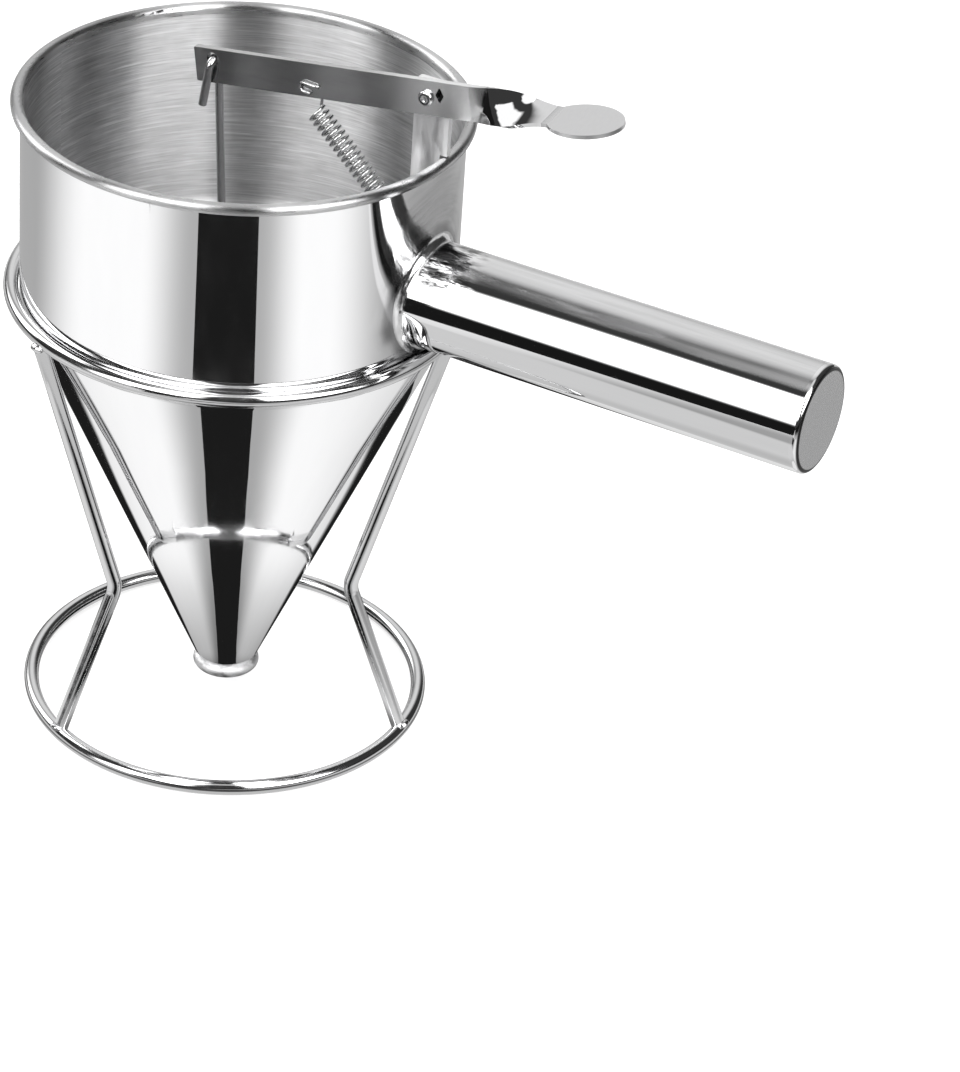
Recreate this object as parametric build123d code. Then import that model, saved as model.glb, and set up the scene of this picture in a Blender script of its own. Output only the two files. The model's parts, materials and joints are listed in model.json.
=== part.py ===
# Hand-held confectionery funnel with a thumb-operated outlet valve, standing in its wire stand.
# Millimetres. The origin is the centre of the stand's base ring, on the table. +Z is up, and the
# handle points along +X.
from build123d import *
import math
import os

# Stand, bent from one gauge of round wire
wire_diameter = 4.5
base_ring_radius = 61.0  # to the wire's centre line
ring_clearance = 0.3  # between the top ring and the bowl
ring_above_shoulder = 3.7
leg_count = 3
first_leg_angle = 5.0  # degrees from the handle
leg_waist_radius = 41.3
leg_waist_height = 49.2
leg_bend_radius = 8.0
leg_clearance = 0.2  # between a leg and the bowl's shoulder
leg_end_drop = 0.6  # from the top ring's centre line down to the leg's cut end
leg_foot_offset = 0.9  # from the base ring's centre line to the leg's end, before it is coped

# Bowl, cone and outlet, from one gauge of sheet
sheet = 1.0
bowl_radius = 65.0  # outside
bowl_height = 63.8  # from the shoulder to the middle of the rim bead
bead_width = 3.8
bead_height = 3.2
cone_height = 127.9  # inside, from the shoulder to the outlet collar
shoulder_radius = 6.0  # outside bend between cylinder and cone
shoulder_land = 0.3  # straight stretch of the cone's sheet above its bend
outlet_radius = 8.0
outlet_above_table = 7.3
collar_height = 3.7
collar_bulge = 1.2

# Handle
handle_diameter = 32.0
handle_wall = 1.2
handle_length = 125.0  # from the bowl's outside to the end
handle_seat_clearance = 0.1  # between the handle and the top ring it sits on
handle_weld_radius = 2.6
cap_thickness = 2.4
cap_edge_radius = 1.5
spigot_length = 6.0
spigot_clearance = 0.05

# Lever and its pivot; heights are above the middle of the rim bead
pivot_inset = 5.0  # from the bowl's outside
pivot_above_rim = 19.9
lever_slope = 8.4  # degrees, rising outwards
lever_thickness = 2.0
lever_depth = 10.5
lever_past_hook = 6.2  # from the hook hole to the inner end
lever_corner_radius = 0.3
twist_start = 14.0  # along the lever, from the pivot
twist_length = 26.0
twist_angle = 84.0
twist_sections = 9
pad_length = 23.4
pad_width = 17.8
pad_thickness = 1.2  # pressed thinner than the bar
pad_middle = 50.2  # along the lever, from the pivot
pad_drop = 0.5  # below the lever's centre line
slot_offset = 4.4  # diamond slot beside the pivot, along the lever
slot_lift = 1.2
slot_width = 2.6
slot_height = 4.4

# Pivot rivet and washer
rivet_shank_diameter = 3.0
rivet_head_diameter = 4.6
rivet_head_height = 1.1
rivet_edge_radius = 0.7
pivot_clearance = 0.05  # radial, rivet in lever
pivot_side_gap = 0.2
washer_diameter = 7.4
washer_thickness = 0.6

# Lever bracket
bracket_thickness = 2.0
ear_inner_margin = 5.2  # from the pivot to the ear's edge
ear_outer_margin = 6.2
ear_above_pivot = 4.4
ear_corner_radius = 1.5
ear_above_bead = 0.3
bracket_depth = 36.0  # below the middle of the rim bead
flange_width = 14.0
flange_below_rim = 6.0

# Valve rod and plug
rod_diameter = 2.5
hook_past_axis = 10.8  # from the bowl's axis, away from the handle
hook_lift = 2.2  # above the lever's centre line
hook_skew = 0.4  # of each leg from the hole's middle
hook_clearance = 0.7  # radial, rod in the lever's hook hole
hook_side_gap = 0.5  # between the rod and the lever's faces
hook_half_straight = 0.15  # between the hook's two bends
hook_lead = 2.4  # the hook's free end leans inwards by this
hook_tail = 14.4  # length of the hook's free leg
rod_guide_length = 12.0  # upright stretch above the plug
rod_guide_bend = 20.0
plug_seat_height = 1.5  # above the outlet collar
plug_taper_height = 10.0
plug_neck_height = 4.5
plug_neck_radius = 4.0
plug_clearance = 0.2  # to the cone when shut
plug_floor = 2.0  # solid under the rod's end

# Return spring
spring_wire = 0.9
spring_outer_diameter = 6.5
spring_turns = 19
coil_spacing = 1.85
coil_inset = 1.0  # of the first turn from the lever's spring hole, inwards
coil_drop = 8.2  # of the first turn below the lever's spring hole
spring_hole_clearance = 0.3
spring_bend_radius = 1.0
spring_hole_reach = 35.8  # from the pivot, inwards along the lever
spring_hole_drop = 1.6  # below the lever's centre line
spring_side_gap = 0.25  # between the curl and the lever's face
curl_run = 4.3  # from the spring hole to the curl
curl_radius = 1.35
curl_tail = 2.2
curl_tilt = 12.0  # degrees, from the lever's line
spring_foot_inset = 0.5  # from the pivot
spring_foot_depth = 27.0  # below the middle of the rim bead
spring_tail = 0.9  # wire past the bracket's far face

# Heights and radii that follow from the sizes above
wire_radius = wire_diameter / 2
collar_top = outlet_above_table + collar_height
shoulder_height = collar_top + cone_height
rim_height = shoulder_height + bowl_height
top_ring_height = shoulder_height + ring_above_shoulder
top_ring_radius = bowl_radius + ring_clearance + wire_radius
bowl_inner_radius = bowl_radius - sheet
cone_angle = math.atan2(bowl_inner_radius - outlet_radius, cone_height)
cone_slope = math.tan(cone_angle)
sheet_across = sheet / math.cos(cone_angle)  # the cone's sheet, measured level
outer_shoulder_height = shoulder_height - (sheet_across - sheet) / cone_slope
seam_height = outer_shoulder_height + shoulder_radius * math.tan(cone_angle / 2) + shoulder_land
handle_radius = handle_diameter / 2
handle_height = top_ring_height + wire_radius + handle_seat_clearance + handle_radius
handle_reach = bowl_radius + handle_length
pivot_reach = bowl_radius - pivot_inset
pivot_height = rim_height + pivot_above_rim
lever_rise = math.radians(lever_slope)
hook_reach = (pivot_reach + hook_past_axis - hook_lift * math.sin(lever_rise)) / math.cos(lever_rise)
lever_inner_length = hook_reach + lever_past_hook
ear_inner_reach = pivot_reach - ear_inner_margin
ear_outer_reach = pivot_reach + ear_outer_margin
ear_near = lever_thickness / 2 + pivot_side_gap + washer_thickness
ear_far = ear_near + bracket_thickness
rivet_shank_radius = rivet_shank_diameter / 2
rod_radius = rod_diameter / 2
spring_hole_radius = spring_wire / 2 + spring_hole_clearance

along_y = Rot(X=-90)
along_x = Rot(Y=90)


def revolved(outline):
    """Solid of revolution about the funnel's axis from a closed outline of (radius, height)."""
    return revolve(Plane.XZ * make_face(outline), axis=Axis.Z)


def tube_along(path, radius):
    """Round bar swept along a path."""
    section = Plane(origin=path @ 0, z_dir=path % 0) * Circle(radius)
    return sweep(section, path=path)


def on_lever(along, across):
    """Point of the lever's middle plane, from its place along and across the bar."""
    reach = pivot_reach + along * math.cos(lever_rise) - across * math.sin(lever_rise)
    height = pivot_height + along * math.sin(lever_rise) + across * math.cos(lever_rise)
    return Vector(reach, 0, height)


def round_pin(centre, near, far, radius):
    """Cylinder along Y through a point, from one Y to another."""
    middle = Vector(centre.X, (near + far) / 2, centre.Z)
    return Pos(*middle) * along_y * Cylinder(radius, far - near)


def make_ring(radius, height):
    """Closed level ring of stand wire."""
    return Pos(0, 0, height) * Torus(radius, wire_radius)


def make_legs(top_ring, base_ring):
    """Bent legs that pass the bowl's shoulder with a set clearance, coped to both rings."""
    waist = Vector(leg_waist_radius, 0, leg_waist_height)
    shoulder = Vector(bowl_radius, 0, outer_shoulder_height) - waist
    lean = math.atan2(shoulder.X, shoulder.Z)
    lean += math.asin((wire_radius + leg_clearance) / shoulder.length)
    rise = top_ring_height - leg_end_drop - leg_waist_height
    top = waist + Vector(rise * math.tan(lean), 0, rise)
    ring_centre = Vector(base_ring_radius, 0, wire_radius)
    foot = ring_centre + (waist - ring_centre).normalized() * leg_foot_offset
    leg = tube_along(FilletPolyline(top, waist, foot, radius=leg_bend_radius), wire_radius)
    leg = leg - top_ring - base_ring
    return [Rot(Z=first_leg_angle + turn * 360 / leg_count) * leg for turn in range(leg_count)]


def make_bowl_wall():
    """Cylinder whose upper edge is curled outwards into a closed bead."""
    curl = bead_height / 2
    inner = bowl_inner_radius
    outer = inner + bead_width
    top = rim_height + curl
    bottom = rim_height - curl
    outline = [
        Line((inner, seam_height), (inner, rim_height)),
        TangentArc((inner, rim_height), (inner + curl, top), tangent=(0, 1)),
        Line((inner + curl, top), (outer - curl, top)),
        ThreePointArc((outer - curl, top), (outer, rim_height), (outer - curl, bottom)),
        Line((outer - curl, bottom), (bowl_radius, bottom)),
        Line((bowl_radius, bottom), (bowl_radius, seam_height)),
        Line((bowl_radius, seam_height), (inner, seam_height)),
    ]
    return revolved(outline)


def make_hopper_cone():
    """Spun cone of even sheet with a rounded shoulder."""
    outer = FilletPolyline(
        (bowl_radius, seam_height),
        (bowl_radius, outer_shoulder_height),
        (outlet_radius + sheet_across, collar_top),
        radius=shoulder_radius,
    )
    inner = FilletPolyline(
        (bowl_inner_radius, seam_height),
        (bowl_inner_radius, shoulder_height),
        (outlet_radius, collar_top),
        radius=shoulder_radius - sheet,
    )
    return revolved([outer, inner, Line(outer @ 0, inner @ 0), Line(outer @ 1, inner @ 1)])


def make_nozzle_collar():
    """Half-round ring that stiffens the outlet."""
    outer = outlet_radius + sheet_across
    middle = outlet_above_table + collar_height / 2
    outline = [
        Line((outlet_radius, outlet_above_table), (outlet_radius, collar_top)),
        Line((outlet_radius, collar_top), (outer, collar_top)),
        ThreePointArc((outer, collar_top), (outer + collar_bulge, middle), (outer, outlet_above_table)),
        Line((outer, outlet_above_table), (outlet_radius, outlet_above_table)),
    ]
    return revolved(outline)


def handle_bar(start, end, radius):
    """Cylinder on the handle's axis between two distances from the bowl's axis."""
    return Pos((start + end) / 2, 0, handle_height) * along_x * Cylinder(radius, end - start)


def make_handle():
    """Tube saddle-cut on the bowl, its end cap and the fillet weld round its root."""
    tube_end = handle_reach - cap_thickness
    inside = bowl_radius - handle_radius
    bore_radius = handle_radius - handle_wall
    bowl = Pos(0, 0, handle_height) * Cylinder(bowl_radius, handle_diameter * 2)
    bar = handle_bar(inside, tube_end, handle_radius)
    tube = bar - handle_bar(inside, tube_end, bore_radius) - bowl
    cap = handle_bar(tube_end, handle_reach, handle_radius)
    cap = fillet(cap.faces().sort_by(Axis.X)[-1].edges(), cap_edge_radius)
    cap += handle_bar(tube_end - spigot_length, tube_end, bore_radius - spigot_clearance)
    joined = bowl + bar
    weld = fillet(new_edges(bowl, bar, combined=joined), handle_weld_radius) - joined
    return tube, cap, weld


def make_lever():
    """Flat bar on edge, twisted a quarter turn into a level oval thumb pad."""
    bar_length = lever_inner_length + twist_start
    bar = Pos(twist_start - bar_length / 2, 0, 0) * Box(bar_length, lever_thickness, lever_depth)
    ends = bar.edges().filter_by(Axis.Y).group_by(Axis.X)[0]
    lever = fillet(ends, lever_corner_radius)
    sections = []
    for step in range(twist_sections):
        share = step / (twist_sections - 1)
        eased = share * share * (3 - 2 * share)
        turn = math.radians(twist_angle) * eased
        place = Plane(
            origin=(twist_start + twist_length * share, 0, -pad_drop * eased),
            x_dir=(0, math.cos(turn), -math.sin(turn)),
            z_dir=(1, 0, 0),
        )
        thickness = lever_thickness + (pad_thickness - lever_thickness) * eased
        sections.append(place * Rectangle(thickness, lever_depth))
    lever += loft(sections)
    turn = math.radians(twist_angle)
    level = Plane(origin=(0, 0, -pad_drop), x_dir=(1, 0, 0), z_dir=(0, -math.cos(turn), math.sin(turn)))
    neck_start = twist_start + twist_length
    neck = Pos((neck_start + pad_middle) / 2, 0) * Rectangle(pad_middle - neck_start, lever_depth)
    outline = neck + Pos(pad_middle, 0) * Ellipse(pad_length / 2, pad_width / 2)
    lever += extrude(level * outline, pad_thickness / 2, both=True)
    lever = Pos(*on_lever(0, 0)) * Rot(Y=-lever_slope) * lever
    near = -lever_thickness
    far = lever_thickness
    lever -= round_pin(on_lever(0, 0), near, far, rivet_shank_radius + pivot_clearance)
    lever -= round_pin(on_lever(-hook_reach, hook_lift), near, far, rod_radius + hook_clearance)
    lever -= round_pin(on_lever(-spring_hole_reach, -spring_hole_drop), near, far, spring_hole_radius)
    slot = Polygon((slot_width / 2, 0), (0, slot_height / 2), (-slot_width / 2, 0), (0, -slot_height / 2))
    slot_plane = Plane(origin=on_lever(slot_offset, slot_lift), x_dir=(1, 0, 0), z_dir=(0, -1, 0))
    return lever - extrude(slot_plane * slot, lever_thickness, both=True)


def spring_foot():
    """Point of the lever's middle plane where the spring is hooked into the bracket."""
    return Vector(pivot_reach - spring_foot_inset, 0, rim_height - spring_foot_depth)


def make_bracket():
    """Ear beside the lever, notched over the rim bead, with a flange along the bowl's inner wall."""
    top = pivot_height + ear_above_pivot
    bottom = rim_height - bracket_depth
    notch = rim_height + bead_height / 2 + ear_above_bead
    ear_middle = (ear_near + ear_far) / 2
    middle = Pos(0, 0, (top + bottom) / 2)
    inside = middle * Cylinder(bowl_inner_radius, top - bottom)
    upper = Box(ear_outer_reach - ear_inner_reach, bracket_thickness, top - notch)
    upper = Pos((ear_inner_reach + ear_outer_reach) / 2, ear_middle, (top + notch) / 2) * upper
    upper = fillet(upper.edges().filter_by(Axis.Y).group_by(Axis.Z)[-1], ear_corner_radius)
    lower = Box(bowl_radius - ear_inner_reach, bracket_thickness, notch - bottom)
    lower = Pos((ear_inner_reach + bowl_radius) / 2, ear_middle, (notch + bottom) / 2) * lower & inside
    flange_top = rim_height - flange_below_rim
    flange = inside - middle * Cylinder(bowl_inner_radius - bracket_thickness, top - bottom)
    reach = Box(bowl_radius, flange_width, flange_top - bottom)
    flange &= Pos(bowl_radius / 2, ear_near + flange_width / 2, (flange_top + bottom) / 2) * reach
    bracket = upper + lower + flange
    bracket -= round_pin(on_lever(0, 0), 0, 2 * ear_far, rivet_shank_radius)
    return bracket - round_pin(spring_foot(), 0, 2 * ear_far, spring_hole_radius)


def make_rivet():
    """Pan-headed rivet, fixed in the ear and set over on its far side."""
    pivot = on_lever(0, 0)
    head_face = -lever_thickness / 2 - pivot_side_gap
    head = round_pin(pivot, head_face - rivet_head_height, head_face, rivet_head_diameter / 2)
    head = fillet(head.faces().sort_by(Axis.Y)[0].edges(), rivet_edge_radius)
    set_head = round_pin(pivot, ear_far, ear_far + rivet_head_height, rivet_head_diameter / 2)
    set_head = fillet(set_head.faces().sort_by(Axis.Y)[-1].edges(), rivet_edge_radius)
    return head + round_pin(pivot, head_face, ear_far, rivet_shank_radius) + set_head


def make_washer():
    """Washer that keeps the lever off the ear."""
    pivot = on_lever(0, 0)
    washer = round_pin(pivot, ear_near - washer_thickness, ear_near, washer_diameter / 2)
    return washer - round_pin(pivot, 0, ear_near * 2, rivet_shank_radius)


def make_valve():
    """Rod hooked through the lever, with a turned stopper on its lower end."""
    hook = on_lever(-hook_reach, hook_lift)
    side = lever_thickness / 2 + hook_side_gap + rod_radius
    plug_bottom = collar_top + plug_seat_height
    plug_top = plug_bottom + plug_taper_height
    neck_top = plug_top + plug_neck_height
    rod_end = plug_bottom + plug_floor
    near_leg = hook.X + hook_skew
    bend = side - hook_half_straight
    path = FilletPolyline(
        (near_leg - hook_lead, -side, hook.Z - hook_tail),
        (near_leg, -side, hook.Z),
        (hook.X - hook_skew, side, hook.Z),
        (0, 0, neck_top + rod_guide_length),
        (0, 0, rod_end),
        radius=[bend, bend, rod_guide_bend],
    )
    rod = tube_along(path, rod_radius)
    gap = plug_clearance / math.cos(cone_angle)
    low_radius = outlet_radius + plug_seat_height * cone_slope - gap
    high_radius = low_radius + plug_taper_height * cone_slope
    outline = Polyline(
        (0, plug_bottom),
        (low_radius, plug_bottom),
        (high_radius, plug_top),
        (plug_neck_radius, neck_top),
        (rod_radius, neck_top),
        (rod_radius, rod_end),
        (0, rod_end),
        close=True,
    )
    return rod, revolved(outline)


def biarc(start, start_tangent, end, end_tangent):
    """Two tangent arcs that join two points with given directions."""
    chord = end - start
    both = start_tangent + end_tangent
    along = chord.dot(both)
    room = 4 - both.dot(both)
    reach = (math.sqrt(along * along + room * chord.dot(chord)) - along) / room
    first = start + start_tangent * reach
    second = end - end_tangent * reach
    joint = (first + second) / 2
    return [
        TangentArc(start, joint, tangent=start_tangent),
        TangentArc(joint, end, tangent=(second - first).normalized()),
    ]


def spring_path():
    """Centre line of the return spring: curl on the lever's near face, turns, hook in the bracket."""
    near = Vector(0, -1, 0)
    far = Vector(0, 1, 0)
    bend = spring_bend_radius
    radius = (spring_outer_diameter - spring_wire) / 2
    turn_length = 2 * math.pi * radius
    hole = on_lever(-spring_hole_reach, -spring_hole_drop)
    first_turn = hole - Vector(coil_inset, 0, coil_drop)
    foot = spring_foot()
    axis = (foot - first_turn).normalized()
    across = axis.cross(near)

    def on_turns(turns):
        angle = turns * 2 * math.pi
        around = near * (radius * math.cos(angle)) + across * (radius * math.sin(angle))
        return first_turn + axis * (coil_spacing * (turns - 0.5)) + around

    def heading(turns):
        angle = turns * 2 * math.pi
        around = across * math.cos(angle) - near * math.sin(angle)
        return (around * turn_length + axis * coil_spacing).normalized()

    curl_fall = lever_rise - math.radians(curl_tilt)
    outwards = Vector(math.cos(curl_fall), 0, math.sin(curl_fall))
    down = outwards.cross(near)
    face_hole = hole + near * (lever_thickness / 2 + spring_side_gap + spring_wire / 2)
    curl_top = face_hole - outwards * curl_run
    curl_bottom = curl_top + down * (2 * curl_radius)
    edges = [
        Line(curl_bottom + outwards * curl_tail, curl_bottom),
        TangentArc(curl_bottom, curl_top, tangent=-outwards),
        Line(curl_top, face_hole - outwards * bend),
        TangentArc(face_hole - outwards * bend, face_hole + far * bend, tangent=outwards),
    ]
    upper_corner = hole + far * radius
    coil_start = first_turn + far * radius
    run = (coil_start - upper_corner).normalized()
    edges += [
        Line(face_hole + far * bend, upper_corner - far * bend),
        TangentArc(upper_corner - far * bend, upper_corner + run * bend, tangent=far),
        Line(upper_corner + run * bend, coil_start - run * bend),
    ]
    edges += biarc(coil_start - run * bend, run, on_turns(0.75), heading(0.75))
    for half_turn in range(2 * spring_turns - 2):
        begin = 0.75 + half_turn / 2
        edges += biarc(on_turns(begin), heading(begin), on_turns(begin + 0.5), heading(begin + 0.5))
    coil_end = on_turns(spring_turns) + axis * bend
    lower_corner = foot + near * radius
    edges += biarc(on_turns(spring_turns - 0.25), heading(spring_turns - 0.25), coil_end, axis)
    edges += [
        Line(coil_end, lower_corner - axis * bend),
        TangentArc(lower_corner - axis * bend, lower_corner + far * bend, tangent=axis),
        Line(lower_corner + far * bend, foot + far * (ear_far + spring_tail)),
    ]
    return edges


def least_gap(edges, skip):
    """Smallest clear space between stretches of the spring's wire at least skip mm apart along it."""
    spacing = spring_wire / 2
    points = []
    travelled = 0
    for edge in edges:
        steps = max(1, round(edge.length / spacing))
        for step in range(steps):
            points.append((travelled + edge.length * step / steps, edge @ (step / steps)))
        travelled += edge.length
    places = [(along, point.X, point.Y, point.Z) for along, point in points]
    least = math.inf
    for index, (along, x, y, z) in enumerate(places):
        for other, u, v, w in places[index + 1:]:
            if other - along >= skip:
                least = min(least, (x - u) ** 2 + (y - v) ** 2 + (z - w) ** 2)
    return math.sqrt(least) - spring_wire


def make_spring():
    """Extension spring wound as one unbroken wire."""
    edges = spring_path()
    half_turn = math.pi * (spring_outer_diameter - spring_wire) / 2
    print("least gap of the spring's wire to itself:", round(least_gap(edges, half_turn), 3), "mm")
    wire = Wire(edges)
    return tube_along(wire, spring_wire / 2)


top_ring = make_ring(top_ring_radius, top_ring_height)
base_ring = make_ring(base_ring_radius, wire_radius)
handle_tube, handle_end_cap, handle_weld = make_handle()
valve_rod, valve_plug = make_valve()
nodes = {
    "stand_top_ring": top_ring,
    "stand_base_ring": base_ring,
    "bowl_wall": make_bowl_wall(),
    "hopper_cone": make_hopper_cone(),
    "nozzle_collar": make_nozzle_collar(),
    "handle_tube": handle_tube,
    "handle_end_cap": handle_end_cap,
    "handle_weld": handle_weld,
    "lever_bracket": make_bracket(),
    "pivot_rivet": make_rivet(),
    "pivot_washer": make_washer(),
    "lever": make_lever(),
    "valve_rod": valve_rod,
    "valve_plug": valve_plug,
    "return_spring": make_spring(),
}
for number, leg in enumerate(make_legs(top_ring, base_ring), start=1):
    nodes[f"stand_leg_{number}"] = leg

os.makedirs("parts", exist_ok=True)
for name, solid in nodes.items():
    export_step(solid, f"parts/{name}.step")
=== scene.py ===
"""Looks of the confectionery funnel: polished and brushed steel, welds, spring and studio."""
import json
import math
import bpy
from mathutils import Matrix, Vector

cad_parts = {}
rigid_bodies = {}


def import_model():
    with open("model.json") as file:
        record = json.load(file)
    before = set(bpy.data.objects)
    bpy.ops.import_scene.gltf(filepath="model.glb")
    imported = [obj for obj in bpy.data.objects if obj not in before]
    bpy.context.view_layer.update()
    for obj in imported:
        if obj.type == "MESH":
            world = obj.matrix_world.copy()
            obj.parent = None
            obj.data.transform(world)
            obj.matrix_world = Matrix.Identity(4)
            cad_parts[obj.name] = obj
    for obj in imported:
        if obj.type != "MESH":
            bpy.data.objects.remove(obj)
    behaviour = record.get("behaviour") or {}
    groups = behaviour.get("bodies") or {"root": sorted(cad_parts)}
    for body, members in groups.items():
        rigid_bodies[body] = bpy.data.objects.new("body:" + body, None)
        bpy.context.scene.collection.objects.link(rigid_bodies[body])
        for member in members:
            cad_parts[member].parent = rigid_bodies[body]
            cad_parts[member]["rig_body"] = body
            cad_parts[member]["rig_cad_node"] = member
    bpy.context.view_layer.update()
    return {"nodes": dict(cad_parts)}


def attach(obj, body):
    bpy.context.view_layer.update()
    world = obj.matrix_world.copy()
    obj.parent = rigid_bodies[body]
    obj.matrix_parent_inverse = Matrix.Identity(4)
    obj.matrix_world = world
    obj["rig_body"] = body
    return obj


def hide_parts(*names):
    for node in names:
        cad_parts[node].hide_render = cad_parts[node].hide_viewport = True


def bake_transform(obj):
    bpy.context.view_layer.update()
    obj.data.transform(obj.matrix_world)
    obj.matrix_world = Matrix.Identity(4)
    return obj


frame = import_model()
nodes = frame["nodes"]

# Sizes of the solids that the looks refer to, in metres
bowl_radius = 0.065
sheet = 0.001
shoulder_height = 0.1389
cone_foot_radius = 0.008
cone_foot_height = 0.011
bead_foot_height = 0.2012
handle_height = 0.16095
cap_face_radius = 0.0149
pivot = Vector((0.060, 0, 0.2226))
lever_slope = math.radians(8.4)
slot_offset = 0.0044
slot_lift = 0.0012
slot_half_width = 0.0013
slot_half_height = 0.0022
leg_angles = (5, 125, 245)
top_ring_radius = 0.06755
top_ring_height = 0.1426
base_ring_radius = 0.061
wire_radius = 0.00225

# Measures of the finishes; an edge is soft, from where it starts to where it ends
belly_depth = 0.0019
belly_edge = (0.048, 0.107)
ground_edge = (0.0160, 0.0260)
# Painted shade round the edge of the handle's weld
weld_shade_edge = (0.0185, 0.0225)
# Zone of ripples and painted dark reflections on the handle's top near the weld
handle_weld_zone_edge = (0.076, 0.085)
handle_weld_zone_rise = (0.006, 0.012)
handle_satin_rise = (0.0124, 0.0134)
# Painted dark reflection: a dark ring round the cap's rounded edge
cap_painted_line_inner = (cap_face_radius - 0.0007, cap_face_radius - 0.0003)
cap_painted_line_outer = (cap_face_radius + 0.0004, cap_face_radius + 0.0008)
# Satin and painted light round the pivot
pivot_satin_and_light_edge = (-0.020, 0.002)
twist_start = 0.0185
twist_lean = 0.22
twist_fade = 0.0012
twist_end = 0.0390
pad_edge = (twist_end, 0.0420)
slot_margin = 1.06
# Painted dark ring of shade on the rivet's head
rivet_shade_ring_radius = 0.00145
rivet_shade_ring_edge = (0.00015, 0.00040)
rivet_dimple_edge = (0.0003, 0.0010)
rivet_dimple_depth = 0.00025
# Centre of the painted shade on the bracket behind the lever's slot
slot_spot = pivot + Vector((0.0030, 0, -0.0002))
slot_spot_edge = (0.0026, 0.0034)
bracket_inner_face = 0.0025
steel_coolness = 1.006

# Usual low and high values of the cloud patterns
cloud_span = (0.3, 0.7)
mark_span = (0.35, 0.65)
brush_span = (0.36, 0.64)

# Camera, solved from the photograph
camera_place = Vector((0.5492, -0.9113, 0.7282))
camera_right = Vector((0.87166, 0.48619, 0.06191))
camera_up = Vector((-0.30556, 0.44032, 0.84424))
camera_back = Vector((0.38320, -0.75481, 0.53237))
camera_lens = 152.23

# Directions on the floor, seen from the funnel's axis
towards_camera = Vector((camera_place.x, camera_place.y, 0)).normalized()
right_of_camera = Vector((-towards_camera.y, towards_camera.x, 0))


class Nodes:
    """A node tree, with short ways to add and join nodes."""

    def __init__(self, tree):
        self.tree = tree

    def add(self, kind, **settings):
        node = self.tree.nodes.new(kind)
        for setting, value in settings.items():
            setattr(node, setting, value)
        return node

    def join(self, source, target):
        self.tree.links.new(source, target)

    def feed(self, socket, value):
        """Joins a node's output to a socket, or sets the socket to a number."""
        if isinstance(value, bpy.types.NodeSocket):
            self.join(value, socket)
        elif value is not None:
            socket.default_value = value

    def math(self, operation, first, second=None):
        node = self.add("ShaderNodeMath", operation=operation)
        self.feed(node.inputs[0], first)
        self.feed(node.inputs[1], second)
        return node.outputs[0]

    def plus(self, first, second):
        return self.math("ADD", first, second)

    def minus(self, first, second):
        return self.math("SUBTRACT", first, second)

    def times(self, first, second):
        return self.math("MULTIPLY", first, second)

    def length(self, first, second):
        """Length of the diagonal of two sides."""
        return self.math("SQRT", self.plus(self.times(first, first), self.times(second, second)))

    def degrees(self, operation, first, second=None):
        """Angle in degrees, from an operation that gives it in radians."""
        return self.times(self.math(operation, first, second), math.degrees(1.0))

    def spread(self, value, low, high, to_low=0.0, to_high=1.0):
        """Straight change from one level to another between two values."""
        node = self.add("ShaderNodeMapRange")
        self.join(value, node.inputs["Value"])
        node.inputs["From Min"].default_value = low
        node.inputs["From Max"].default_value = high
        self.feed(node.inputs["To Min"], to_low)
        self.feed(node.inputs["To Max"], to_high)
        return node.outputs["Result"]

    def ease(self, value, low, high, to_low=0.0, to_high=1.0):
        """Soft change from one level to another between two values."""
        result = self.spread(value, low, high, to_low, to_high)
        result.node.interpolation_type = "SMOOTHSTEP"
        return result

    def window(self, value, up, down):
        """1 between two soft edges and 0 outside them."""
        return self.times(self.ease(value, *up), self.ease(value, *down, 1.0, 0.0))

    def pick(self, share, first, second):
        """Number between two, by a share."""
        node = self.add("ShaderNodeMix", data_type="FLOAT")
        self.join(share, node.inputs["Factor"])
        self.feed(node.inputs[2], first)
        self.feed(node.inputs[3], second)
        return node.outputs[0]

    def tint(self, share, first, second):
        """Colour between two, by a share; a number stands for a grey."""
        node = self.add("ShaderNodeMix", data_type="RGBA")
        self.join(share, node.inputs["Factor"])
        for socket, value in ((node.inputs[6], first), (node.inputs[7], second)):
            self.feed(socket, value if isinstance(value, bpy.types.NodeSocket) else steel_grey(value))
        return node.outputs[2]

    def choose(self, share, first, second):
        """One shader or the other, by a share."""
        node = self.add("ShaderNodeMixShader")
        self.feed(node.inputs[0], share)
        self.join(first, node.inputs[1])
        self.join(second, node.inputs[2])
        return node.outputs[0]

    def place(self):
        """X, Y and Z of the surface point, in metres."""
        source = self.add("ShaderNodeTexCoord")
        split = self.add("ShaderNodeSeparateXYZ")
        self.join(source.outputs["Object"], split.inputs[0])
        return split.outputs

    def on_floor(self, x, y):
        """Distances towards the camera and to its right, and the direction in degrees to its right."""
        ahead = self.plus(self.times(x, towards_camera.x), self.times(y, towards_camera.y))
        aside = self.plus(self.times(x, right_of_camera.x), self.times(y, right_of_camera.y))
        return ahead, aside, self.degrees("ARCTAN2", aside, ahead)

    def noise(self, x, y, z, scale, detail=2.0):
        """Cloud pattern; scale stretches it along each axis."""
        where = self.add("ShaderNodeCombineXYZ")
        for socket, value, factor in zip(where.inputs, (x, y, z), scale):
            self.feed(socket, self.times(value, factor))
        node = self.add("ShaderNodeTexNoise")
        self.join(where.outputs[0], node.inputs["Vector"])
        node.inputs["Scale"].default_value = 1.0
        node.inputs["Detail"].default_value = detail
        return node.outputs["Fac"]

    def rays(self, first, *others):
        """1 for rays of the named kinds and 0 for the rest."""
        kinds = self.add("ShaderNodeLightPath").outputs
        total = kinds[first]
        for kind in others:
            total = self.math("MAXIMUM", total, kinds[kind])
        return total


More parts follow.
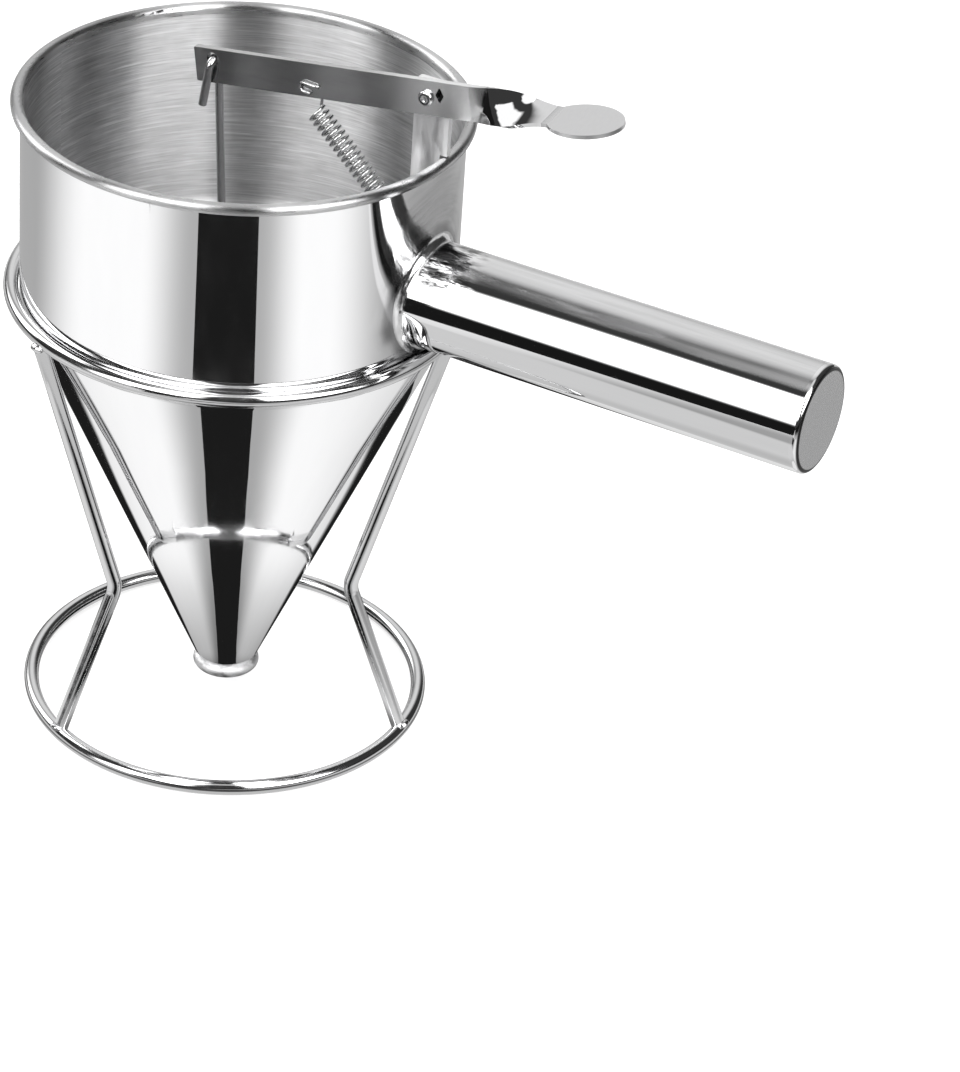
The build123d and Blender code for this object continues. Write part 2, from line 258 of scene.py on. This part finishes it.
class Finish(Nodes):
    """Finish of a surface: metal, or a shader shown in its place."""

    def __init__(self, name):
        self.material = bpy.data.materials.new(name)
        self.material.use_nodes = True
        super().__init__(self.material.node_tree)
        self.shader = self.tree.nodes["Principled BSDF"]

    def steel(self, colour, roughness):
        """Makes the surface metal of a colour and roughness."""
        self.feed(self.shader.inputs["Base Color"], colour)
        self.feed(self.shader.inputs["Roughness"], roughness)
        self.shader.inputs["Metallic"].default_value = 1.0

    def bump(self, height):
        """Relief of the metal, in metres."""
        node = self.add("ShaderNodeBump")
        self.join(height, node.inputs["Height"])
        node.inputs["Strength"].default_value = 1.0
        node.inputs["Distance"].default_value = 1.0
        self.join(node.outputs["Normal"], self.shader.inputs["Normal"])

    def glow(self, strength):
        """White light of a strength."""
        node = self.add("ShaderNodeEmission")
        self.feed(node.inputs["Strength"], strength)
        return node.outputs[0]

    def show(self, shader):
        """Shows a shader in place of the metal."""
        self.tree.nodes.remove(self.shader)
        self.join(shader, self.tree.nodes["Material Output"].inputs[0])


def steel_grey(level):
    """Grey of stainless steel, a touch cool."""
    return (level, level, level * steel_coolness, 1)


def polished_steel(name, lines, roughness, level):
    """Mirror steel with a faint haze of polishing lines; lines stretches the pattern along each axis."""
    finish = Finish(name)
    x, y, z = finish.place()
    haze = finish.noise(x, y, z, lines, 3.0)
    hazed = finish.spread(haze, *cloud_span, roughness * 0.6, roughness * 1.5)
    finish.steel(finish.tint(haze, level * 0.95, level), hazed)
    return finish


def brushed_sheet(name, wall_radius, wall_slope, wall_height):
    """Sheet polished outside and brushed round inside, on either side of the wall's middle surface."""
    finish = Finish(name)
    x, y, z = finish.place()
    rise = finish.times(finish.minus(z, wall_height), wall_slope)
    depth = finish.minus(finish.minus(finish.length(x, y), rise), wall_radius)
    inside = finish.math("LESS_THAN", depth, 0.0)
    angle = finish.math("ARCTAN2", y, x)
    fine = finish.noise(angle, 0.0, z, (6.0, 1.0, 2600.0), 3.0)
    strokes = finish.noise(angle, 0.7, z, (3.5, 1.0, 1300.0), 3.0)
    patches = finish.noise(angle, 0.2, z, (9.0, 1.0, 120.0), 2.0)
    brushing = finish.plus(finish.times(fine, 0.45), finish.times(strokes, 0.35))
    brushing = finish.plus(brushing, finish.times(patches, 0.20))
    brushed_tone = finish.tint(finish.spread(brushing, *brush_span), 0.46, 0.80)
    brushed_tone = finish.tint(finish.spread(strokes, 0.60, 0.74), brushed_tone, 0.90)
    brushed = finish.spread(brushing, *brush_span, 0.40, 0.34)
    haze = finish.noise(angle, 0.3, z, (14.0, 1.0, 60.0), 3.0)
    finish.colour = finish.tint(inside, finish.tint(haze, 0.89, 0.92), brushed_tone)
    finish.roughness = finish.pick(inside, finish.spread(haze, *cloud_span, 0.02, 0.05), brushed)
    finish.relief = finish.times(finish.times(brushing, inside), 0.000006)
    finish.shader.inputs["Anisotropic"].default_value = 1.0
    finish.shader.inputs["Anisotropic Rotation"].default_value = 0.25
    tangent = finish.add("ShaderNodeTangent", direction_type="RADIAL", axis="Z")
    finish.join(tangent.outputs[0], finish.shader.inputs["Tangent"])
    finish.inside = inside
    finish.where = (x, y, z)
    return finish


def cone_sheet():
    """Cone, polished outside and brushed inside, with a shallow belly as shading only."""
    slope = (bowl_radius - sheet - cone_foot_radius) / (shoulder_height - cone_foot_height)
    finish = brushed_sheet("cone_sheet", cone_foot_radius + sheet * 0.55, slope, cone_foot_height)
    belly = finish.ease(finish.where[2], *belly_edge, belly_depth, 0.0)
    finish.steel(finish.colour, finish.roughness)
    finish.bump(finish.plus(finish.relief, belly))
    return finish


def bowl_sheet():
    """Bowl wall with a satin bead, the ground patch that the handle's weld leaves outside, and painted shade
    round the weld's edge.
    """
    finish = brushed_sheet("bowl_sheet", bowl_radius - sheet / 2, 0.0, shoulder_height)
    x, y, z = finish.where
    bead = finish.math("GREATER_THAN", z, bead_foot_height)
    scuffs = finish.noise(x, y, z, (130.0, 130.0, 1800.0), 2.0)
    colour = finish.tint(bead, finish.colour, finish.tint(scuffs, 0.46, 0.54))
    roughness = finish.pick(bead, finish.roughness, finish.spread(scuffs, *cloud_span, 0.25, 0.33))
    up = finish.minus(z, handle_height)
    distance = finish.length(y, up)
    outer = finish.times(finish.math("GREATER_THAN", x, 0.0), finish.minus(1.0, finish.inside))
    wander = finish.times(finish.minus(finish.noise(x, y, z, (90.0, 90.0, 90.0), 1.0), 0.5), 0.008)
    upward = finish.times(up, finish.spread(up, -0.001, 0.001, 1.0, 0.5))
    reach = finish.plus(finish.length(y, upward), wander)
    ground = finish.times(finish.ease(reach, *ground_edge, 1.0, 0.0), outer)
    # Painted shade: a dark, mottled ring round the edge of the handle's weld
    weld_edge_painted_shade = finish.times(finish.ease(finish.plus(distance, wander), *weld_shade_edge, 1.0, 0.0), outer)
    around = finish.math("ARCTAN2", up, y)
    marks = finish.noise(around, 0.0, distance, (2.4, 1.0, 700.0), 2.0)
    dents = finish.noise(x, y, z, (110.0, 110.0, 110.0), 0.0)
    colour = finish.tint(ground, colour, finish.tint(finish.spread(marks, *mark_span), 0.58, 0.70))
    colour = finish.tint(weld_edge_painted_shade, colour, finish.tint(dents, 0.16, 0.50))
    roughness = finish.pick(ground, roughness, finish.spread(marks, *mark_span, 0.20, 0.10))
    finish.steel(colour, roughness)
    worn = finish.plus(finish.times(dents, 0.00022), finish.times(marks, 0.000006))
    finish.bump(finish.plus(finish.relief, finish.times(worn, ground)))
    return finish


def handle_steel():
    """Mirror tube, rubbed to satin on top and rippled by the weld's heat close to the bowl, where its top
    carries painted dark reflections.
    """
    finish = Finish("handle_polish")
    x, y, z = finish.place()
    up = finish.minus(z, handle_height)
    haze = finish.noise(x, y, z, (30.0, 500.0, 500.0), 3.0)
    near_weld = finish.ease(x, *handle_weld_zone_edge, 1.0, 0.0)
    ripples_and_painted_reflection = finish.times(near_weld, finish.ease(up, *handle_weld_zone_rise))
    ripples = finish.noise(x, y, z, (150.0, 430.0, 430.0), 2.0)
    on_top = finish.ease(up, *handle_satin_rise)
    mirror = finish.spread(haze, *cloud_span, 0.02, 0.05)
    rubbed = finish.pick(on_top, mirror, finish.spread(haze, *cloud_span, 0.12, 0.22))
    streaks = finish.tint(on_top, finish.tint(haze, 0.70, 0.74), finish.tint(haze, 0.52, 0.78))
    # Painted dark reflections: a mottled dark tone on the rippled top near the weld
    painted_dark_reflection = finish.tint(finish.spread(ripples, 0.40, 0.58), 0.10, 0.80)
    finish.steel(finish.tint(ripples_and_painted_reflection, streaks, painted_dark_reflection), finish.pick(ripples_and_painted_reflection, rubbed, 0.12))
    finish.bump(finish.times(finish.times(ripples, ripples_and_painted_reflection), 0.0004))
    return finish


def cap_steel():
    """Satin cap with a painted dark reflection, a thin dark ring inside its polished edge."""
    finish = Finish("cap_satin")
    x, y, z = finish.place()
    distance = finish.length(y, finish.minus(z, handle_height))
    # Painted dark reflection: a dark ring where the rounded edge meets the face
    painted_dark_line = finish.window(distance, cap_painted_line_inner, cap_painted_line_outer)
    speckle = finish.noise(x, y, z, (2200.0, 2200.0, 2200.0), 2.0)
    grain = finish.noise(x, y, z, (300.0, 1500.0, 160.0), 2.0)
    satin = finish.plus(finish.times(speckle, 0.5), finish.times(grain, 0.5))
    face = finish.math("LESS_THAN", distance, cap_face_radius)
    colour = finish.tint(face, 0.74, finish.tint(satin, 0.68, 0.82))
    roughness = finish.pick(face, 0.06, finish.spread(speckle, *cloud_span, 0.22, 0.32))
    finish.steel(finish.tint(painted_dark_line, colour, 0.03), finish.pick(painted_dark_line, roughness, 0.35))
    finish.bump(finish.times(finish.times(speckle, face), 0.000002))
    return finish


def lever_steel():
    """Rolled strip: polished on the inner arm, satin at the pivot and thumb pad, a mirror on the twist, with
    painted shade along the arm and painted light at the pivot.
    """
    finish = Finish("lever_strip")
    x, y, z = finish.place()
    rolling = finish.noise(x, y, z, (60.0, 900.0, 900.0), 3.0)
    along = finish.plus(
        finish.times(finish.minus(x, pivot.x), math.cos(lever_slope)),
        finish.times(finish.minus(z, pivot.z), math.sin(lever_slope)),
    )
    across = finish.minus(
        finish.times(finish.minus(z, pivot.z), math.cos(lever_slope)),
        finish.times(finish.minus(x, pivot.x), math.sin(lever_slope)),
    )
    past_start = finish.minus(along, finish.plus(twist_start, finish.times(across, twist_lean)))
    before_twist = finish.ease(past_start, -twist_fade, 0.0, 1.0, 0.0)
    pivot_satin_and_painted_light = finish.times(finish.ease(along, *pivot_satin_and_light_edge), before_twist)
    on_twist = finish.times(
        finish.math("GREATER_THAN", past_start, 0.0), finish.math("LESS_THAN", along, twist_end)
    )
    on_pad = finish.ease(along, *pad_edge)
    grain = finish.noise(x, y, z, (1500.0, 400.0, 1500.0), 2.0)
    roughness = finish.spread(rolling, *cloud_span, 0.07, 0.13)
    roughness = finish.pick(pivot_satin_and_painted_light, roughness, 0.22)
    roughness = finish.pick(on_twist, roughness, 0.0)
    roughness = finish.pick(on_pad, roughness, finish.spread(grain, *cloud_span, 0.28, 0.34))
    # Painted shade and light: a dark tone along the arm and a light one at the pivot
    colour = finish.tint(rolling, 0.44, 0.52)
    colour = finish.tint(pivot_satin_and_painted_light, colour, finish.tint(grain, 0.76, 0.86))
    colour = finish.tint(on_twist, colour, finish.tint(grain, 0.72, 0.76))
    colour = finish.tint(on_pad, colour, finish.tint(grain, 0.58, 0.64))
    side = finish.math("ABSOLUTE", finish.minus(along, slot_offset))
    lift = finish.math("ABSOLUTE", finish.minus(across, slot_lift))
    diamond = finish.plus(
        finish.math("DIVIDE", side, slot_half_width), finish.math("DIVIDE", lift, slot_half_height)
    )
    # Painted shade inside the diamond slot: its walls are dark
    slot_wall_painted_shade = finish.math("LESS_THAN", diamond, slot_margin)
    finish.steel(finish.tint(slot_wall_painted_shade, colour, 0.10), roughness)
    finish.bump(finish.times(grain, 0.0000015))
    return finish


def rivet_steel():
    """Bright fastener steel with a painted ring of shade and the dimple that setting the rivet leaves."""
    finish = Finish("rivet_steel")
    x, y, z = finish.place()
    distance = finish.length(finish.minus(x, pivot.x), finish.minus(z, pivot.z))
    off_ring = finish.math("ABSOLUTE", finish.minus(distance, rivet_shade_ring_radius))
    # Painted shade: a dark ring on the rivet's head
    painted_shade_ring = finish.ease(off_ring, *rivet_shade_ring_edge, 1.0, 0.0)
    scuffs = finish.noise(x, y, z, (900.0, 900.0, 900.0), 2.0)
    colour = finish.tint(painted_shade_ring, finish.tint(scuffs, 0.66, 0.86), 0.10)
    finish.steel(colour, finish.pick(painted_shade_ring, 0.14, 0.30))
    finish.bump(finish.ease(distance, *rivet_dimple_edge, -rivet_dimple_depth, 0.0))
    return finish


def bracket_steel():
    """Satin bracket, with painted shade on the small spot that the lever's slot uncovers."""
    finish = Finish("bracket_steel")
    x, y, z = finish.place()
    haze = finish.noise(x, y, z, (300.0, 300.0, 80.0), 3.0)
    distance = finish.length(finish.minus(x, slot_spot.x), finish.minus(z, slot_spot.z))
    inner_face = finish.math("LESS_THAN", y, bracket_inner_face)
    # Painted shade on the inner face, where the slot shows it
    spot_painted_shade = finish.times(inner_face, finish.ease(distance, *slot_spot_edge, 1.0, 0.0))
    colour = finish.tint(spot_painted_shade, finish.tint(haze, 0.89, 0.94), 0.04)
    finish.steel(colour, finish.spread(haze, *cloud_span, 0.31, 0.78))
    return finish


def weld_steel(name, dark, light, size, depth):
    """Bare weld metal: pitted, in waves of a size, and slightly uneven in tone."""
    finish = Finish(name)
    x, y, z = finish.place()
    waves = finish.noise(x, y, z, (1.0 / size,) * 3, 0.0)
    pits = finish.noise(x, y, z, (1600.0,) * 3, 3.0)
    finish.steel(finish.tint(waves, dark, light), finish.spread(pits, *cloud_span, 0.10, 0.26))
    finish.bump(finish.plus(finish.times(waves, depth), finish.times(pits, depth * 0.05)))
    return finish


def wear(node, finish):
    """Gives a solid its finish."""
    mesh = nodes[node].data
    mesh.materials.clear()
    mesh.materials.append(finish.material)


wire_finish = polished_steel("drawn_wire", (260.0, 260.0, 260.0), 0.10, 0.64)
collar_finish = polished_steel("collar_steel", (500.0, 500.0, 500.0), 0.55, 0.68)
fastener_finish = polished_steel("fastener_steel", (700.0, 700.0, 700.0), 0.14, 0.60)
rod_finish = polished_steel("valve_rod_wire", (900.0, 900.0, 60.0), 0.12, 0.48)
plug_finish = polished_steel("turned_plug", (80.0, 80.0, 2500.0), 0.14, 0.80)
spring_finish = polished_steel("spring_wire", (500.0, 500.0, 500.0), 0.14, 0.52)
root_weld_finish = weld_steel("handle_weld_bead", 0.55, 0.86, 0.004, 0.00035)
spot_weld_finish = weld_steel("stand_weld_bead", 0.35, 0.80, 0.0011, 0.00015)

wear("bowl_wall", bowl_sheet())
wear("hopper_cone", cone_sheet())
wear("nozzle_collar", collar_finish)
wear("handle_tube", handle_steel())
wear("handle_end_cap", cap_steel())
wear("handle_weld", root_weld_finish)
for name in ("stand_top_ring", "stand_base_ring", "stand_leg_1", "stand_leg_2", "stand_leg_3"):
    wear(name, wire_finish)
wear("lever", lever_steel())
wear("lever_bracket", bracket_steel())
wear("pivot_rivet", rivet_steel())
wear("pivot_washer", fastener_finish)
wear("valve_rod", rod_finish)
wear("valve_plug", plug_finish)
wear("return_spring", spring_finish)


def start_piece():
    """Leaves nothing selected before a new piece is modelled."""
    bpy.ops.object.select_all(action="DESELECT")


def select_only(piece):
    """Selects one piece and makes it the active one."""
    start_piece()
    piece.select_set(True)
    bpy.context.view_layer.objects.active = piece


def make_spring():
    """Copy of the wound spring between the bracket and the lever."""
    select_only(nodes["return_spring"])
    bpy.ops.object.duplicate()
    spring = bpy.context.view_layer.objects.active
    spring.name = "return_spring_wound"
    bpy.ops.object.parent_clear(type="CLEAR_KEEP_TRANSFORM")
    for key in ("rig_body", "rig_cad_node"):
        del spring[key]
    bpy.ops.object.mode_set(mode="EDIT")
    bpy.ops.mesh.select_all(action="SELECT")
    bpy.ops.mesh.remove_doubles(threshold=0.000002)
    bpy.ops.object.mode_set(mode="OBJECT")
    bpy.ops.object.shade_smooth_by_angle(angle=math.radians(40))
    return spring


spring = make_spring()
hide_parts("return_spring")
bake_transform(spring)


def make_weld_nuggets(name, centre, half_sizes, lean, seed):
    """Lumps of weld metal where each leg meets a ring, shaped at the handle's side and copied round."""
    start_piece()
    bpy.ops.mesh.primitive_uv_sphere_add(segments=18, ring_count=10, radius=1.0)
    nugget = bpy.context.active_object
    nugget.name = f"{name}_1"
    bpy.ops.object.mode_set(mode="EDIT")
    bpy.ops.mesh.select_all(action="SELECT")
    bpy.ops.transform.vertex_random(offset=0.22, uniform=0.0, normal=1.0, seed=seed)
    bpy.ops.mesh.vertices_smooth(factor=0.5, repeat=2)
    bpy.ops.transform.resize(value=half_sizes, center_override=(0, 0, 0))
    bpy.ops.mesh.subdivide(number_cuts=1, smoothness=1.0)
    bpy.ops.transform.rotate(value=lean, orient_axis="Y", center_override=(0, 0, 0))
    bpy.ops.transform.translate(value=centre)
    bpy.ops.object.mode_set(mode="OBJECT")
    bpy.ops.object.shade_smooth()
    nugget.data.materials.append(spot_weld_finish.material)
    pieces = [nugget]
    for number in range(2, len(leg_angles) + 1):
        select_only(nugget)
        bpy.ops.object.duplicate()
        pieces.append(bpy.context.active_object)
        pieces[-1].name = f"{name}_{number}"
    for piece, angle in zip(pieces, leg_angles):
        select_only(piece)
        bpy.ops.object.mode_set(mode="EDIT")
        bpy.ops.mesh.select_all(action="SELECT")
        bpy.ops.transform.rotate(value=-math.radians(angle), orient_axis="Z", center_override=(0, 0, 0))
        bpy.ops.object.mode_set(mode="OBJECT")
        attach(piece, "stand")


weld_lean = math.radians(22)
make_weld_nuggets(
    "foot_weld",
    centre=(base_ring_radius + 0.0002, 0, wire_radius + 0.0017),
    half_sizes=(0.0029, 0.0027, 0.0013),
    lean=weld_lean,
    seed=4,
)
make_weld_nuggets(
    "leg_top_weld",
    centre=(top_ring_radius + 0.0016, 0, top_ring_height - 0.0018),
    half_sizes=(0.0019, 0.0026, 0.0014),
    lean=-weld_lean,
    seed=9,
)

# Studio floor: its levels by lamp light, to the camera, and the share of that in the steel
floor_size = 8.0
floor_matte = 0.30
floor_glow = 0.76
floor_share_in_steel = 0.2


def make_floor():
    """Wide pale floor that shows white, keeps the object's shadow and is dim in the steel."""
    start_piece()
    bpy.ops.mesh.primitive_plane_add(size=floor_size, location=(0, 0, 0))
    floor = bpy.context.active_object
    floor.name = "studio_floor"
    finish = Finish("studio_floor")
    matte = finish.add("ShaderNodeBsdfDiffuse")
    matte.inputs["Color"].default_value = (floor_matte, floor_matte, floor_matte, 1)
    in_steel = finish.times(finish.rays("Is Glossy Ray"), floor_share_in_steel)
    shown = finish.plus(in_steel, finish.rays("Is Camera Ray", "Is Transmission Ray"))
    both = finish.add("ShaderNodeAddShader")
    finish.join(matte.outputs[0], both.inputs[0])
    finish.join(finish.glow(finish.times(shown, floor_glow)), both.inputs[1])
    finish.show(both.outputs[0])
    floor.data.materials.append(finish.material)


def only_in_reflections(card):
    """Hides a card from everything but mirror reflections."""
    card.visible_camera = False
    card.visible_diffuse = False
    card.visible_transmission = False
    card.visible_volume_scatter = False
    card.visible_shadow = False


card_black = 0.012

# Shade sheet: long rays see its far boards, short ones and those beside the cone its near ones
shade_radius = 0.54
shade_lift = 0.0004
short_ray = 0.160
beside_angle = 75
beside_radius = 0.165

# Boards and gaps by their two soft edges, in degrees to the right of the camera's side, and their levels
far_boards = (((-124, -78), (-48, -21)), ((9, 31), (43, 80)))
far_board_level = 1.08
far_side_edge = (20, 100)
far_back_edge = (140, 180)
far_front_level = 0.47
far_side_level = 0.43
far_back_level = 0.50
near_sides = ((-170, -60), (50, 140))
near_front = ((-53, -22), (14, 46))
near_black = (((-156, -150), (-119, -112)), ((114, 124), (149, 155)))
near_side_level = 1.05
near_front_level = 0.42
near_back_level = 0.735
handle_board = ((-180, -90), (85, 135))
handle_board_level = 0.82
handle_back_level = 0.50

# Painted shadow on the sheet, by distance from the axis or by the length of the ray
handle_board_edge = (0.235, 0.275)
under_handle_edge = (0.150, 0.175)
under_handle_painted_shadow = 0.60
outlet_edge = (0.008, 0.062)
outlet_painted_shadow = 0.45
contact_edge = (0.006, 0.020)
contact_painted_shadow = 0.25
touching_ray = 0.0035
touching_level = 0.80

# Dark strip on the sheet, from the outlet towards the camera
strip_lean = -0.113
strip_start = 0.020
strip_half_width = 0.0036
strip_spread = 0.247
strip_shortest_ray = 0.0115
far_strip = (0.294, 0.480)
far_strip_growth = 1.18
far_strip_shortening = 0.037


def make_shade_sheet():
    """Disc on the floor that gives the mirror steel its soft greys, painted shadows and dark strip."""
    start_piece()
    bpy.ops.mesh.primitive_circle_add(vertices=96, radius=shade_radius, fill_type="NGON", location=(0, 0, 0))
    shade = bpy.context.active_object
    shade.name = "shade_sheet"
    shade.data.transform(Matrix.Translation((0, 0, shade_lift)))
    finish = Finish("shade_sheet")
    x, y = finish.place()[:2]
    ahead, aside, degrees = finish.on_floor(x, y)
    radius = finish.length(x, y)
    off_front = finish.math("ABSOLUTE", degrees)
    path = finish.add("ShaderNodeLightPath").outputs["Ray Length"]

    def either(first, second):
        return finish.math("MAXIMUM", finish.window(degrees, *first), finish.window(degrees, *second))

    far_level = finish.ease(off_front, *far_side_edge, far_front_level, far_side_level)
    far_level = finish.pick(finish.ease(off_front, *far_back_edge), far_level, far_back_level)
    far_level = finish.pick(either(*far_boards), far_level, far_board_level)
    handle_level = finish.pick(finish.window(degrees, *handle_board), handle_back_level, handle_board_level)
    # Painted shadow under the handle
    handle_level = finish.times(handle_level, finish.ease(path, *under_handle_edge, under_handle_painted_shadow, 1.0))
    far_level = finish.pick(finish.ease(radius, *handle_board_edge), handle_level, far_level)
    near_level = finish.pick(finish.window(degrees, *near_sides), near_back_level, near_side_level)
    near_level = finish.pick(finish.window(degrees, *near_front), near_level, near_front_level)
    near_level = finish.pick(either(*near_black), near_level, card_black)
    # Painted shadow round the outlet
    near_level = finish.times(near_level, finish.ease(radius, *outlet_edge, outlet_painted_shadow, 1.0))
    beside = finish.times(
        finish.math("GREATER_THAN", off_front, beside_angle), finish.math("LESS_THAN", radius, beside_radius)
    )
    near = finish.math("MAXIMUM", finish.math("LESS_THAN", path, short_ray), beside)
    level = finish.pick(near, far_level, near_level)
    # Painted contact shadow for short rays
    level = finish.times(level, finish.ease(path, *contact_edge, contact_painted_shadow, 1.0))
    level = finish.pick(finish.math("LESS_THAN", path, touching_ray), level, touching_level)

    middle = finish.times(finish.minus(ahead, strip_start), strip_lean)
    off_middle = finish.math("ABSOLUTE", finish.minus(aside, middle))
    half = finish.plus(finish.times(ahead, strip_spread), strip_half_width)
    far = finish.times(
        finish.math("GREATER_THAN", ahead, far_strip[0]), finish.math("LESS_THAN", ahead, far_strip[1])
    )
    longest = finish.minus(finish.times(ahead, far_strip_growth), far_strip_shortening)
    far = finish.times(far, finish.math("LESS_THAN", path, longest))
    strip = finish.times(finish.math("LESS_THAN", off_middle, half), finish.math("MAXIMUM", near, far))
    strip = finish.times(strip, finish.math("GREATER_THAN", path, strip_shortest_ray))
    finish.show(finish.glow(finish.pick(strip, level, card_black)))
    shade.data.materials.append(finish.material)
    only_in_reflections(shade)


def dark_wall(name, first, last, top, shown_to, bottom=0.0006):
    """Upright dark card between two floor points, each as (towards the camera, to its right).

    It shows black to perfect mirrors; shown_to gives its share and level for the other steel.
    """
    feet = [towards_camera * ahead + right_of_camera * aside for ahead, aside in (first, last)]
    low = Vector((0, 0, bottom))
    high = Vector((0, 0, top))
    mesh = bpy.data.meshes.new(name)
    mesh.from_pydata([feet[0] + low, feet[1] + low, feet[1] + high, feet[0] + high], [], [(0, 1, 2, 3)])
    card = bpy.data.objects.new(name, mesh)
    bpy.context.scene.collection.objects.link(card)
    finish = Finish(name)
    rays = finish.add("ShaderNodeLightPath").outputs
    share, level = shown_to(finish, rays["Ray Length"], finish.place())
    glow = finish.glow(finish.pick(rays["Is Singular Ray"], level, card_black))
    clear = finish.add("ShaderNodeBsdfTransparent").outputs[0]
    finish.show(finish.choose(finish.math("MAXIMUM", rays["Is Singular Ray"], share), clear, glow))
    mesh.materials.append(finish.material)
    only_in_reflections(card)


make_floor()
make_shade_sheet()

# Dark cards: heights, sides, and the rows of cards by first angle, last angle and fade at the ends
wall_top = 0.185
corner_top = 0.215
left_side = -0.30
far_side = -0.80
handle_ray = 0.418
wall_distance = 0.55
wall_step = 12
wall_rows = ((-125, -77, 14), (-15, 105, 20))
wire_grey = 0.60
wire_grey_edge = (0.015, 0.110)


def to_handle(finish, path, place):
    """Black to the handle, whose mirror rays to the card are longer than the bowl's."""
    return finish.math("GREATER_THAN", path, handle_ray), card_black


def to_wires(finish, path, place):
    """Grey near the floor and black higher up, fading out at the ends of the row."""
    x, y, z = place
    degrees = finish.on_floor(x, y)[2]
    shares = [
        finish.window(degrees, (start, start + fade), (end - fade, end)) for start, end, fade in wall_rows
    ]
    return finish.math("MAXIMUM", *shares), finish.ease(z, *wire_grey_edge, wire_grey, card_black)


def to_mirrors(finish, path, place):
    """Only black to perfect mirrors."""
    return 0.0, card_black


dark_wall("dark_wall_left", (0.294, left_side), (0.75, left_side), wall_top, to_handle, bottom=0.005)
dark_wall("dark_wall_corner", (0.255, left_side), (0.295, left_side), corner_top, to_handle)
dark_wall("dark_wall_side", (-0.02, left_side), (0.256, left_side), corner_top, to_mirrors, bottom=0.085)
dark_wall("dark_wall_far", (0.30, far_side), (1.90, far_side), wall_top, to_mirrors)
for start, end, fade in wall_rows:
    for turn in range(start, end, wall_step):
        angles = (math.radians(turn), math.radians(turn + wall_step))
        ends = [(wall_distance * math.cos(angle), wall_distance * math.sin(angle)) for angle in angles]
        dark_wall(f"dark_wall_{turn + 180}", *ends, wall_top, to_wires)

# Level of the dim walls of the surroundings
wall_level = 0.05


def make_world():
    """White surround for the camera; softboxes and dim walls for the steel, by degrees round and up."""
    world = bpy.data.worlds.new("studio")
    bpy.context.scene.world = world
    world.use_nodes = True
    world.node_tree.nodes.clear()
    sky = Nodes(world.node_tree)
    heading = sky.add("ShaderNodeTexCoord").outputs["Generated"]

    def along(direction):
        node = sky.add("ShaderNodeVectorMath", operation="DOT_PRODUCT")
        sky.join(heading, node.inputs[0])
        node.inputs[1].default_value = direction
        return node.outputs["Value"]

    def backdrop(strength):
        node = sky.add("ShaderNodeBackground")
        node.inputs["Color"].default_value = (1, 1, 1, 1)
        sky.feed(node.inputs["Strength"], strength)
        return node.outputs[0]

    rightward = sky.degrees("ARCTAN2", along(right_of_camera), along(towards_camera))
    leftward = sky.times(rightward, -1.0)
    rise = sky.degrees("ARCSINE", along((0, 0, 1)))
    turn = sky.math("ABSOLUTE", rightward)

    def box(round_value, round_edges, rise_edges):
        return sky.times(sky.window(round_value, *round_edges), sky.window(rise, *rise_edges))

    upright = ((14, 26), (54, 60))
    behind = sky.times(sky.ease(turn, 144, 172), sky.window(rise, (-35, 28), (50, 80)))
    parts = (
        (box(rightward, ((13, 18), (57, 67)), upright), 6.6),
        (box(leftward, ((13, 26), (64, 78)), upright), 5.8),
        (box(leftward, ((46, 50), (64, 78)), ((3, 8), (20, 30))), 2.0),
        (box(turn, ((13, 18), (57, 67)), ((56, 62), (72, 80))), 3.0),
        (box(leftward, ((108, 116), (126, 156)), ((8, 14), (50, 57))), 4.5),
        (behind, 0.97),
        (sky.ease(rise, 65.5, 74.5), 0.8),
    )
    level = wall_level
    for part, strength in parts:
        level = sky.plus(level, sky.times(part, strength))
    side_box = box(leftward, ((50, 54), (126, 138)), ((8, 12), (50, 57)))
    boxes = sky.times(sky.math("MAXIMUM", side_box, sky.ease(rise, 74, 78)), 1.3)
    back_wall = sky.times(sky.ease(turn, 154, 174), 0.85)
    mirror_level = sky.plus(wall_level, sky.plus(boxes, back_wall))
    studio = backdrop(sky.pick(sky.rays("Is Singular Ray"), level, mirror_level))
    output = sky.add("ShaderNodeOutputWorld")
    sky.join(sky.choose(sky.rays("Is Camera Ray"), studio, backdrop(1.0)), output.inputs[0])


make_world()
lamp_aim = Vector((0, 0, 0.1))


def soft_lamp(name, place, size, power):
    """Square soft lamp aimed at the funnel, hidden from the mirror steel."""
    lamp = bpy.data.lights.new(name, "AREA")
    lamp.size = size
    lamp.energy = power
    stand = bpy.data.objects.new(name, lamp)
    stand.location = place
    stand.rotation_mode = "QUATERNION"
    stand.rotation_quaternion = (lamp_aim - Vector(place)).to_track_quat("-Z", "Y")
    stand.visible_glossy = False
    bpy.context.scene.collection.objects.link(stand)


soft_lamp("lamp_left", (-0.9, -1.1, 1.3), 0.9, 14.0)
soft_lamp("lamp_right", (1.3, -0.5, 1.3), 0.9, 10.0)
soft_lamp("lamp_top", (0.1, 0.3, 1.7), 1.2, 12.0)

camera = bpy.data.objects.new("camera", bpy.data.cameras.new("camera"))
camera.data.sensor_fit = "HORIZONTAL"
camera.data.sensor_width = 36.0
camera.data.lens = camera_lens
camera.matrix_world = Matrix((
    (camera_right.x, camera_up.x, camera_back.x, camera_place.x),
    (camera_right.y, camera_up.y, camera_back.y, camera_place.y),
    (camera_right.z, camera_up.z, camera_back.z, camera_place.z),
    (0, 0, 0, 1),
))
bpy.context.scene.collection.objects.link(camera)
bpy.context.scene.camera = camera
bpy.context.scene.view_settings.view_transform = "Standard"
